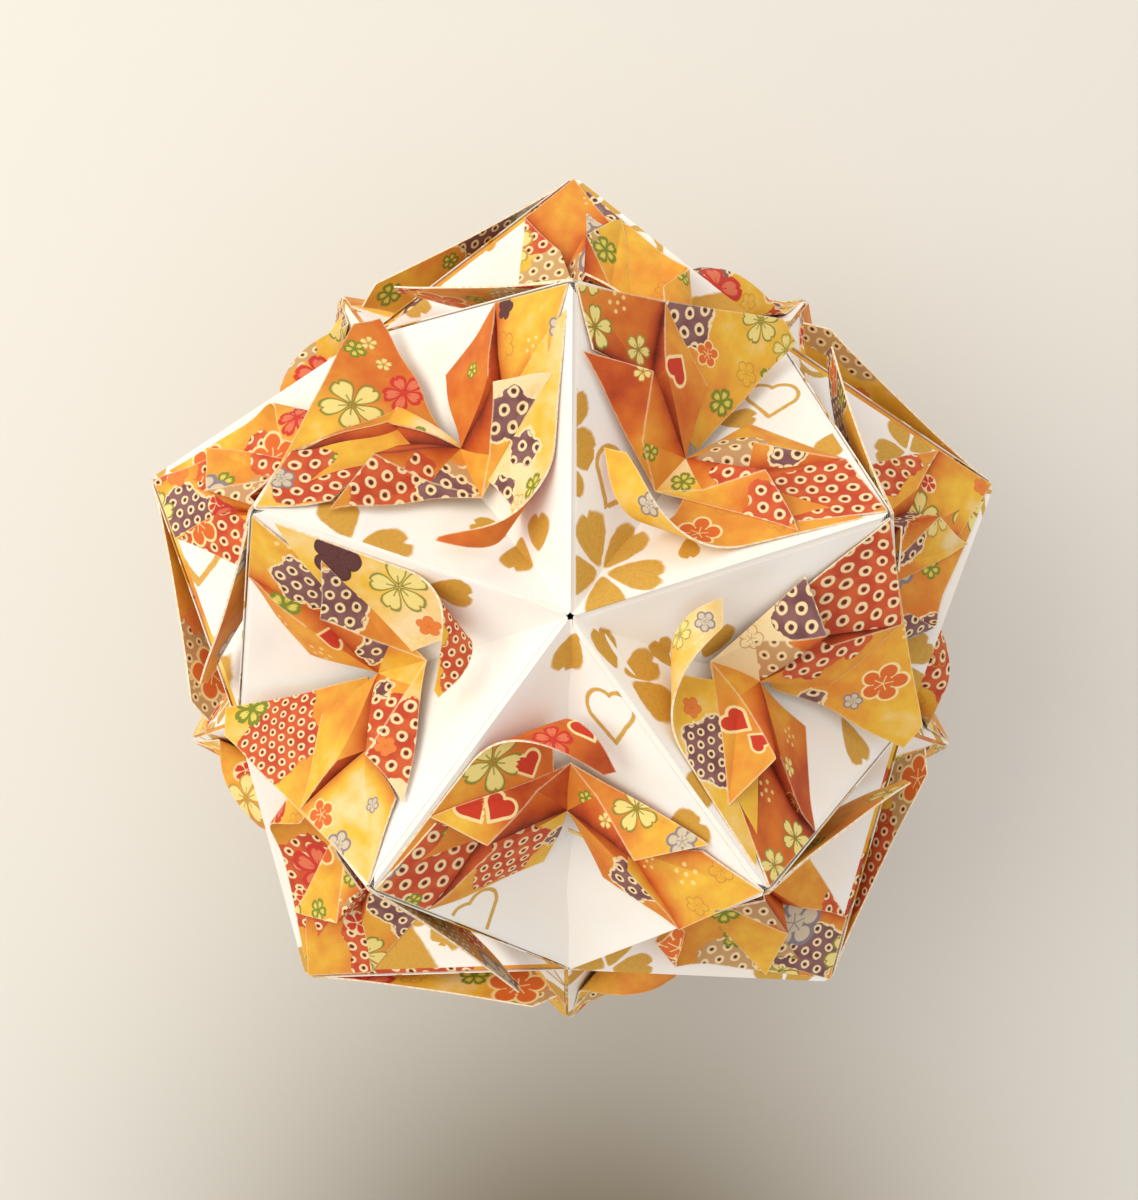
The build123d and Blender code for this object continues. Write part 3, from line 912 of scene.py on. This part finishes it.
def nearestMotif(prints, found):
    # each face takes the motif whose rim is nearest: its corners in that motif's own frame
    centre = prints.mean(1)
    away = np.linalg.norm(centre[:, None] - found["place"][None], axis=2) - found["radius"][None]
    best = away.argmin(1)
    local = (prints - found["place"][best][:, None]) / found["radius"][best][:, None, None]
    c, s = np.cos(found["turn"][best])[:, None], np.sin(found["turn"][best])[:, None]
    local = np.stack([local[..., 0] * c + local[..., 1] * s, local[..., 1] * c - local[..., 0] * s], -1)
    petal = (found["kind"] == "goldPetal")[best]  # it fills one fifth of a blossom's frame
    local[petal] = local[petal] * petalForm["single"] + petalForm["singleMiddle"]
    values = {key: np.array([motifs[kind][key] for kind in found["kind"]], float)[best]
              for key in ("Form", "Fill", "Line")}
    return {"": local} | {key: np.repeat(value[:, None], 3, 1) for key, value in values.items()}


def fieldDistance(prints, blobs, kind):
    # how far each corner lies from the nearest blob of a kind: a circle with five soft lobes
    chosen = blobs["kind"] == kind if blobs else np.zeros(1, bool)
    if not chosen.any():
        return np.full(prints.shape[:2], farOff)
    offset = prints[..., None, :] - blobs["place"][chosen]
    angle = np.arctan2(offset[..., 1], offset[..., 0])
    lobes = 1 + printing["lobes"] * np.cos(5 * angle + blobs["turn"][chosen])
    return (np.linalg.norm(offset, axis=-1) - blobs["radius"][chosen] * lobes).min(-1)


def toneAt(prints, found):
    # the mean of the marked tones, each weighted by 1 / (distance^2 + spread)
    away = np.linalg.norm(prints[..., None, :] - found["place"], axis=-1)
    weight = 1 / (away ** 2 + printing["spread"])
    return (weight * [tones[kind] for kind in found["kind"]]).sum(-1) / weight.sum(-1)


# Materials

class Wire:
    # a node's output that can be used in sums, products and comparisons
    def __init__(self, tree, socket):
        self.tree, self.socket = tree, socket

    def maths(self, operation, other=None, reflected=False):
        values = [self] if other is None else [other, self] if reflected else [self, other]
        return node(self.tree, "ShaderNodeMath", {"operation": operation}, dict(enumerate(values)))

    def near(self, other):
        return (self - other).size() < 0.5

    def step(self, start, end):
        # 0 at start and 1 at end, soft in between
        return node(self.tree, "ShaderNodeMapRange", {"interpolation_type": "SMOOTHSTEP"},
                    {"Value": self, "From Min": start, "From Max": end})

    def inside(self, blur):
        # 1 where the distance is below 0, soft over the blur on either side
        return self.step(blur, -blur)


reflectedOperations = {
    "add": "ADD", "sub": "SUBTRACT", "mul": "MULTIPLY", "truediv": "DIVIDE", "pow": "POWER",
}
operations = {
    "__lt__": "LESS_THAN", "__gt__": "GREATER_THAN", "low": "MINIMUM", "high": "MAXIMUM", "size": "ABSOLUTE",
    "part": "FRACT", "whole": "FLOOR", "sign": "SIGN", "sine": "SINE", "cosine": "COSINE",
}
for name, operation in reflectedOperations.items():
    setattr(Wire, f"__{name}__", partialmethod(Wire.maths, operation))
    setattr(Wire, f"__r{name}__", partialmethod(Wire.maths, operation, reflected=True))
for name, operation in operations.items():
    setattr(Wire, name, partialmethod(Wire.maths, operation))


def node(tree, kind, settings, inputs, output=0):
    # makes a node: its settings first, then the values or links of its sockets
    made = tree.nodes.new(kind)
    for name, value in settings.items():
        if name == "stops":
            while len(made.color_ramp.elements) < len(value):
                made.color_ramp.elements.new(0.5)
            for stop, (position, colour) in zip(made.color_ramp.elements, value):
                stop.position, stop.color = position, colour
        else:
            setattr(made, name, value)
    for name, value in inputs.items():
        if isinstance(value, Wire):
            tree.links.new(value.socket, made.inputs[name])
        else:
            made.inputs[name].default_value = value
    return Wire(tree, None if output is None else made.outputs[output])


def mixed(tree, share, first, second):
    return node(tree, "ShaderNodeMix", {"data_type": "RGBA"}, {0: share, 6: first, 7: second}, 2)


def parts(tree, vector):
    split = node(tree, "ShaderNodeSeparateXYZ", {}, {0: vector}).socket.node
    return [Wire(tree, socket) for socket in split.outputs]


def attribute(tree, name, output="Vector"):
    return node(tree, "ShaderNodeAttribute", {"attribute_name": name}, {}, output)


def printPlace(tree, name="print"):
    return node(tree, "ShaderNodeUVMap", {"uv_map": name}, {})


noises = {  # scale for each mm of print and detail, and for the fibres for each metre
    "mottle": (0.32, 4.0),
    "cloud": (0.09, 3.0),
    "whiteCloud": (0.08, 2.0),
    "fieldEdge": (0.9, 2.0),
    "motifEdge": (0.7, 1.0),
    "dotPlace": (1.5, 1.0),
    "dotEdge": (2.6, 1.0),
    "ink": (4.0, 3.0),
    "gold": (2.2, 4.0),
    "wear": (1.1, 3.0),
    "cut": (1.4, 3.0),
    "fibre": (2600.0, 3.0),
    "coarseFibre": (420.0, 2.0),
}


def noise(tree, name, place=None, output=0):
    scale, detail = noises[name]
    inputs = {"Vector": place or printPlace(tree), "Scale": scale, "Detail": detail}
    return node(tree, "ShaderNodeTexNoise", {}, inputs, output)


petalForm = {  # in a blossom of radius 1: places along a petal, and radii
    "eggMiddle": 0.52, "eggHalf": 0.42,
    "eggFoot": 0.10, "eggWidening": 0.34,  # its half width is foot + widening * place
    "notch": 0.84, "notchSlope": 1.3,
    "eggScale": 0.26, "notchScale": 0.6,  # bring both to distances
    "roundMiddle": 0.58, "roundRadius": 0.37, "roundHeart": 0.42,
    "spotMiddle": 0.66, "spotRadius": 0.15,
    "single": (0.42, 0.40),  # scale and shift of a petal that stands alone
    "singleMiddle": (0.5, 0),
    "heartWidth": 0.82, "heartHeight": 0.74, "heartSink": 0.78,
    "heartLobe": 0.354, "heartScale": 0.76,
    "vein": 0.02, "veinReach": 0.40, "disc": 1.04,
    "rough": 0.05,
}


def petals(tree, x, y):
    # distances to a notched petal, a round petal, a heart and six spots, all with a radius of 1,
    # and which of the five petals it is
    form = petalForm
    radius = (x * x + y * y) ** 0.5
    turn = y.maths("ARCTAN2", x) * (5 / math.tau) + 0.5
    angle = (turn.part() - 0.5) * (math.tau / 5)
    along, aside = radius * angle.cosine(), (radius * angle.sine()).size()
    width = form["eggFoot"] + form["eggWidening"] * along.high(0.0)
    egg = (((along - form["eggMiddle"]) / form["eggHalf"]) ** 2 + (aside / width) ** 2) ** 0.5
    cut = along - form["notch"] - aside * form["notchSlope"]
    notched = ((egg - 1) * form["eggScale"]).high(cut * form["notchScale"])

    def circles(name, middle):
        # one circle on each petal and one in the middle
        away = ((along - form[name + "Middle"]) ** 2 + aside ** 2) ** 0.5
        return (away - form[name + "Radius"]).low(radius - middle)
    spots, rounded = circles("spot", form["spotRadius"]), circles("round", form["roundHeart"])
    # the exact distance to a heart: two half circles on a square that stands on its corner
    x, y = x.size() * form["heartWidth"], (y + form["heartSink"]) * form["heartHeight"]
    nearest = (x + y).high(0.0) * 0.5
    corner, slant = x * x + (y - 1) ** 2, (x - nearest) ** 2 + (y - nearest) ** 2
    sides = corner.low(slant) ** 0.5 * (x - y).sign()
    lobes = ((x - 0.25) ** 2 + (y - 0.75) ** 2) ** 0.5 - form["heartLobe"]
    heart = (sides + (x + y > 1) * (lobes - sides)) / form["heartScale"]
    return notched, rounded, heart, spots, radius, aside, turn.whole()


def motifLayer(tree, ground, name, blur):
    # draws one layer of motifs over a colour, and tells where it did
    x, y, _ = parts(tree, printPlace(tree, name))
    rough = (noise(tree, "motifEdge") - 0.5) * petalForm["rough"]
    form, width, disc = parts(tree, attribute(tree, name + "Form"))
    notched, rounded, heart, spots, radius, aside, which = petals(tree, x, y)
    single = form.near(3)
    petal = notched * (form.near(0) + single) + rounded * form.near(1) + heart * form.near(2)
    petal = petal + spots * form.near(4) + rough + motifFar * single * (which.size() > 0.5)
    fill, line = (attribute(tree, name + kind, "Color") for kind in ("Fill", "Line"))
    fillAlpha, lineAlpha = (attribute(tree, name + kind, "Alpha") for kind in ("Fill", "Line"))
    drawn = width > 0.001
    fillShare = fillAlpha * petal.inside(blur)
    lineShare = lineAlpha * (petal.size() - width * 0.5).inside(blur) * drawn
    veins = (form < 1.5) * drawn * (radius < petalForm["veinReach"])
    veins = veins * (aside - petalForm["vein"]).inside(blur)
    discShare = disc * (radius + rough - petalForm["disc"]).inside(blur)
    colour = mixed(tree, discShare, ground, line)
    colour = mixed(tree, fillShare, colour, fill)
    colour = mixed(tree, lineShare.high(veins * lineAlpha), colour, line)
    return colour, fillShare.high(lineShare).high(discShare)


dotForm = {  # in steps of the dots' lattice
    "wobble": (0.14, 0.14, 0),
    "rows": 1.08,
    "flat": 0.8,
    "ring": 0.24,
    "ringHalf": 0.08,
    "dot": 0.12,
    "uneven": 0.06,
    "blur": 0.03,
}


def dotted(tree):
    # ringed dots on a staggered lattice: ring and dot masks
    flat = printPlace(tree, "dots")
    shift = {0: noise(tree, "dotPlace", flat, "Color"), 1: dotForm["wobble"], 2: flat}
    x, y, _ = parts(tree, node(tree, "ShaderNodeVectorMath", {"operation": "MULTIPLY_ADD"}, shift))
    y = y * dotForm["rows"]
    x = (x + 0.5 * y.whole().maths("MODULO", 2.0)).part() - 0.5
    y = y.part() - 0.5
    away = (x * x + y * y * dotForm["flat"]) ** 0.5
    uneven = (noise(tree, "dotEdge", flat) - 0.5) * dotForm["uneven"]
    ring = (away - dotForm["ring"]).size() - dotForm["ringHalf"] + uneven
    return ring.inside(dotForm["blur"]), (away - dotForm["dot"] + uneven).inside(dotForm["blur"])


look = {
    "yellow": srgb(240, 190, 64),
    "amber": srgb(228, 150, 56),
    "orange": srgb(214, 112, 40),
    "deep": srgb(186, 74, 30),
    # painted shade, the darkest tone
    "shade": srgb(112, 30, 14),
    "cream": srgb(246, 222, 172),
    "red": srgb(196, 70, 42),
    "redLight": srgb(214, 98, 54),
    "purple": srgb(140, 98, 98),
    "purpleDark": srgb(112, 70, 74),
    "tan": srgb(196, 160, 116),
    "dot": srgb(84, 44, 34),
    # pale edges: wear, and a painted highlight along the crests
    "worn": srgb(252, 232, 192),
    "white": srgb(252, 247, 242),
    "core": srgb(250, 236, 210),
    "goldDark": srgb(186, 124, 40),
    "cloudTone": 0.3,  # shares, or widths in mm where that is said
    "mottleTone": 0.35,
    "fieldRough": 1.4,  # mm
    "fieldLine": 0.4,  # mm, the pale line round a purple field
    "fieldBlur": 0.08,
    "tanShare": 0.85,
    "inkShare": 0.12,
    "wearWidth": 0.18,  # mm
    "wearRough": 0.26,
    "wear": 0.42,
    "wearSoft": 0.3,
    "redMottle": (0.35, 0.65),  # from no to full strength, in values of the noise
    "purpleMottle": (0.35, 0.7),
    "inkSpeck": (0.45, 0.75),
    "goldSpeck": (0.42, 0.75),
    "whiteCloud": (0.3, 0.7),
    "cutSpeck": (0.4, 0.7),
    "goldShare": 0.35,
    "cloudShare": 0.3,
    "cutShare": 0.5,
    "tanBlur": 0.3,  # mm
    "redBlur": 0.10,
    "dotBorder": -0.2,
    "smallBlur": 0.05,  # in a motif's radii
    "largeBlur": 0.025,
    "goldBlur": 0.02,
    "specular": 0.25,
    "bump": 0.0001,  # metres
    "fineFibre": 0.6,
    "printedRough": (0.62, 0.35),  # roughness, and the strength of the fibres
    "whiteRough": (0.6, 0.25),
    "edgeRough": (0.7, 0.3),
}


def paperSurface(tree, colour, roughness, lumps):
    place, fine = node(tree, "ShaderNodeTexCoord", {}, {}, "Object"), look["fineFibre"]
    fibre = noise(tree, "fibre", place) * fine + noise(tree, "coarseFibre", place) * (1 - fine)
    bump = node(tree, "ShaderNodeBump", {}, {"Strength": lumps, "Distance": look["bump"], "Height": fibre})
    inputs = {"Roughness": roughness, "Specular IOR Level": look["specular"], "Base Color": colour}
    return node(tree, "ShaderNodeBsdfPrincipled", {}, {**inputs, "Normal": bump})


def newMaterial(surface):
    # a material with the name of the function that makes its surface
    material = bpy.data.materials.new(surface.__name__)
    material.use_nodes = True
    tree = material.node_tree
    tree.nodes.clear()
    node(tree, "ShaderNodeOutputMaterial", {}, {0: surface(tree)}, None)
    return material


def printedPaper(tree):
    red, purple, pale = parts(tree, attribute(tree, "fields"))
    mottle = noise(tree, "mottle")
    tone = attribute(tree, "fields", "Alpha") + (noise(tree, "cloud") - 0.5) * look["cloudTone"]
    tone = tone + (mottle - 0.5) * look["mottleTone"]
    stops = [(place, look[name]) for name, place in tones.items()]
    colour = node(tree, "ShaderNodeValToRGB", {"stops": stops}, {0: tone})
    edge = (noise(tree, "fieldEdge") - 0.5) * look["fieldRough"]
    red, purple, pale = red + edge, purple + edge, pale + edge
    redGround = mixed(tree, mottle.step(*look["redMottle"]), look["red"], look["redLight"])
    purpleGround = mixed(tree, mottle.step(*look["purpleMottle"]), look["purple"], look["purpleDark"])
    inside = red.low(purple).low(pale).step(0.0, look["dotBorder"])
    ring, dot = dotted(tree)
    for share, top in [
            (pale.inside(look["tanBlur"]) * look["tanShare"], look["tan"]),
            (red.inside(look["redBlur"]), redGround),
            ((purple - look["fieldLine"]).inside(look["fieldBlur"]), look["cream"]),
            (purple.inside(look["fieldBlur"]), purpleGround),
            (ring * inside, look["cream"]),
            (dot * inside, look["dot"])]:
        colour = mixed(tree, share, colour, top)
    for layer in ("small", "large"):
        colour, _ = motifLayer(tree, colour, layer, look[layer + "Blur"])
    ink = noise(tree, "ink").step(*look["inkSpeck"]) * look["inkShare"]
    colour = mixed(tree, ink, colour, look["orange"])
    # a pale line along crests and cut edges: wear, and a painted highlight where the folds catch the light
    a, b, c = parts(tree, attribute(tree, "gaps"))
    width = look["wearWidth"]
    worn = a.low(b).low(c) + (noise(tree, "wear") - 0.5) * look["wearRough"]
    worn = worn.step(width, width * look["wearSoft"]) * look["wear"]
    return paperSurface(tree, mixed(tree, worn, colour, look["worn"]), *look["printedRough"])


def whitePaper(tree):
    cloud = noise(tree, "whiteCloud").step(*look["whiteCloud"]) * look["cloudShare"]
    colour = mixed(tree, cloud, look["white"], look["core"])
    colour, first = motifLayer(tree, colour, "large", look["goldBlur"])
    colour, second = motifLayer(tree, colour, "small", look["goldBlur"])
    speck = first.high(second) * noise(tree, "gold").step(*look["goldSpeck"]) * look["goldShare"]
    return paperSurface(tree, mixed(tree, speck, colour, look["goldDark"]), *look["whiteRough"])


def cutEdge(tree):
    speck = noise(tree, "cut").step(*look["cutSpeck"]) * look["cutShare"]
    return paperSurface(tree, mixed(tree, speck, look["core"], look["amber"]), *look["edgeRough"])


# Units

materials = [newMaterial(surface) for surface in (whitePaper, printedPaper, cutEdge)]
print("materials made")


def unitShells(name, lift, change):
    bandPaint = 0 if name.startswith("top_cup") else 1  # lower down these bands show the print
    sheets = [(bodySheet(), body["frontPly"], 0)]
    sheets += [(bandSheet(side), body["bandPly"], bandPaint) for side in (1, -1)]
    sheets += [(backSheet(side), body["ply"], 0) for side in (1, -1)]
    sheets.append((rolledSheet(change["roll"]), roll["ply"], 1))
    sheets.append((openSheet(lift, name), lean["ply"], 1))
    sheets.append((pleatSheet(lift, change["pleat"]), pleat["ply"], 1))
    return joinShells([closeSheet(*sheet) for sheet in sheets])


def placed(name, data, **settings):
    # a new object in the scene
    made = bpy.data.objects.new(name, data)
    for key, value in settings.items():
        setattr(made, key, value)
    bpy.context.scene.collection.objects.link(made)
    return made


def addValues(mesh, name, values):
    # two values a corner become a place on the print, three a vector and four a colour
    flat, size = values.ravel().astype(np.float32), values.shape[-1]
    if size == 2:
        mesh.uv_layers.new(name=name).data.foreach_set("uv", flat)
    else:
        kind, field = ("FLOAT_VECTOR", "vector") if size == 3 else ("FLOAT_COLOR", "color")
        mesh.attributes.new(name, kind, "CORNER").data.foreach_set(field, flat)


def printUnit(shell, seen, rng):
    # chooses the motifs and the fields of colour of one unit, one stretch of print at a time
    corners = shell["print"].shape[:2]
    blank = {"": (2, motifFar), "Form": (3, 0.0), "Fill": (4, 0.0), "Line": (4, 0.0)}
    layers = {name + key: np.full(corners + (size,), value)
              for name in ("large", "small") for key, (size, value) in blank.items()}
    fields, pitch = np.full(corners + (4,), farOff), np.full(corners + (1,), printing["plainPitch"])
    for part in np.unique(shell["part"]):
        chosen = shell["part"] == part
        prints = shell["print"][chosen]
        low, high = prints.min((0, 1)) - printing["margin"], prints.max((0, 1)) + printing["margin"]
        white = shell["paint"][chosen].min() == 0
        own = [mark for mark in seen if mark[0] == part]
        if seen and not own and part in pleatSheets:
            own = [(part, "orange", prints.mean((0, 1)), 1.0, 0.0)]
        groups = {"large": "gold", "small": "thinGold"} if white else {"large": "large", "small": "small"}
        for layer, group in groups.items() if part % underside != 1 else ():
            found = marksFor(group, low, high, own, rng)
            if found is None or not len(found["kind"]):
                continue
            for key, values in nearestMotif(prints, found).items():
                layers[layer + key][chosen] = values
        if white:
            continue
        blobs = marksFor("field", low, high, own, rng)
        for place, kind in enumerate(fieldKinds):
            fields[chosen, :, place] = fieldDistance(prints, blobs, kind)
        # painted shade near the deep folds
        paintedCreaseShade = printing["creaseTone"] * np.exp(-shell["crease"][chosen] / printing["creaseWidth"])
        fields[chosen, :, 3] = toneAt(prints, marksFor("tone", low, high, own, rng)) + paintedCreaseShade
        pitches = [mark[3] for mark in own if mark[1] == "pitch"]
        pitch[chosen] = pitches[0] if pitches else rng.uniform(*printing["pitch"])
    return {"print": shell["print"], "dots": shell["print"] / pitch, **layers, "fields": fields}


def variedFolds(rng):
    # small differences from unit to unit, where the photograph shows none
    def shifted(place, amount, outward):
        return tuple(np.array(place) + rng.uniform(-amount, amount, 3) * (1, 1, outward))
    names = "hinge", "outerCrest", "innerCrest", "backCrest", "floor"
    amounts = handFolding["foldShift"], handFolding["foldOutward"]
    change = {side: {name: shifted(pleatPoints[name], *amounts) for name in names} for side in (1, -1)}
    middle = handFolding["middleShift"]
    return {**change, 0: {name: shifted(place, middle, 0) for name, place in pleatMiddle.items()}}


def makeUnit(name, head, tail, rng):
    bottom, inPhoto = name.startswith("bottom"), name in foldPixels
    curl = {key: roll[key] + rng.uniform(-shift, shift) for key, shift in handFolding["rollShift"].items()}
    change = {"roll": rolls.get(name, curl)}
    change["pleat"] = foldsOf(name, head, tail) if inPhoto else variedFolds(rng)
    shell = unitShells(name, lean["pressed"] if bottom else lean["lift"], change)
    seen = seenMarks(name, head, tail, shell, rng) if inPhoto else []
    prints = printUnit(shell, seen, rng)
    amount = handFolding["amountBelow" if bottom else "amount"]
    verts = toBall(head, tail, handFolded(shell["verts"], rng, amount)) / 1000
    mesh = bpy.data.meshes.new(name + "_paper")
    mesh.from_pydata(verts.tolist(), [], shell["faces"].tolist())
    mesh.polygons.foreach_set("material_index", shell["paint"].astype(np.int32))
    mesh.shade_smooth()
    mesh.set_sharp_from_angle(angle=math.radians(sharpFold))
    for key, values in {**prints, "gaps": shell["gaps"]}.items():
        addValues(mesh, key, values)
    for material in materials:
        mesh.materials.append(material)
    mesh.update()
    made = placed(name + "_paper", mesh)
    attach(made, bodyName)
    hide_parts(name)
    return made


bodyName = list(frame["bodies"])[0]
sharpFold = 24  # degrees, from which an edge is shaded as a fold
for number, (name, (head, tail)) in enumerate(unitPlaces().items()):
    unit = makeUnit(name, head, tail, np.random.default_rng(ball["seed"] * 100 + number))
print("units made,", len(unit.data.polygons), "triangles each")


# Floor, light and camera

setting = {
    "floorColour": srgb(230, 227, 220),
    "floorDark": srgb(104, 88, 62),  # painted shadow below the ball, as in the photograph
    "darkMiddle": (0.005, -0.150),  # metres
    "darkSize": (0.076, 0.075),
    "floorSize": 3.0,
    "worldStrength": 0.82,
    "worldColour": srgb(245, 244, 242),
    "lampAim": (0, 0, 0.06),
}
lamps = {  # place and size in metres, power in watts
    "windowLeft": {"place": (-0.50, 0.14, 0.60), "size": 0.6, "power": 3.0, "colour": srgb(255, 249, 232)},
    "windowTop": {"place": (0.06, 0.60, 0.42), "size": 0.4, "power": 0.6, "colour": srgb(250, 244, 240)},
}


def paleFloorWithPaintedShadow(tree):
    # a painted shadow: its colour darkens by exp(-(x/a)^2 - (y/b)^2) round the shadow's middle
    place = parts(tree, node(tree, "ShaderNodeTexCoord", {}, {}, "Object"))
    middle, size = setting["darkMiddle"], setting["darkSize"]
    x, y = ((place[k] - middle[k]) / size[k] for k in range(2))
    paintedShadow = math.e ** (-1 * (x * x + y * y))
    colour = mixed(tree, paintedShadow, setting["floorColour"], setting["floorDark"])
    return node(tree, "ShaderNodeBsdfDiffuse", {}, {"Color": colour})


def makeFloor():
    side = setting["floorSize"] / 2
    corners = [(-side, -side, 0), (side, -side, 0), (side, side, 0), (-side, side, 0)]
    mesh = bpy.data.meshes.new("floor")
    mesh.from_pydata(corners, [], [(0, 1, 2, 3)])
    mesh.materials.append(newMaterial(paleFloorWithPaintedShadow))
    floor = placed("floor", mesh)


def makeLight():
    world = bpy.data.worlds.new("studio")
    bpy.context.scene.world = world
    world.use_nodes = True
    background = world.node_tree.nodes["Background"].inputs
    background["Color"].default_value = setting["worldColour"]
    background["Strength"].default_value = setting["worldStrength"]
    for name, lampSetting in lamps.items():
        lamp = bpy.data.lights.new(name, "AREA")
        lamp.size, lamp.energy = lampSetting["size"], lampSetting["power"]
        lamp.color = lampSetting["colour"][:3]
        place = Vector(lampSetting["place"])
        turn = (Vector(setting["lampAim"]) - place).to_track_quat("-Z", "Y").to_euler()
        placed(name, lamp, location=place, rotation_euler=turn)


def makeCamera():
    turned = Matrix(viewTurn.T.tolist())
    place = turned @ Vector((-view["aside"][0], -view["aside"][1], view["distance"]))
    place.z += ball["centreHeight"]
    camera = bpy.data.cameras.new("camera")
    camera.sensor_width = 36
    camera.lens = camera.sensor_width * view["focalPixels"] / view["framePixels"]
    camera.clip_start = 0.01
    seenFrom = placed("camera", camera, location=place / 1000, rotation_euler=turned.to_euler())
    bpy.context.scene.camera = seenFrom


makeFloor()
makeLight()
makeCamera()
bpy.context.scene.view_settings.view_transform = "Standard"
print("stage ready")
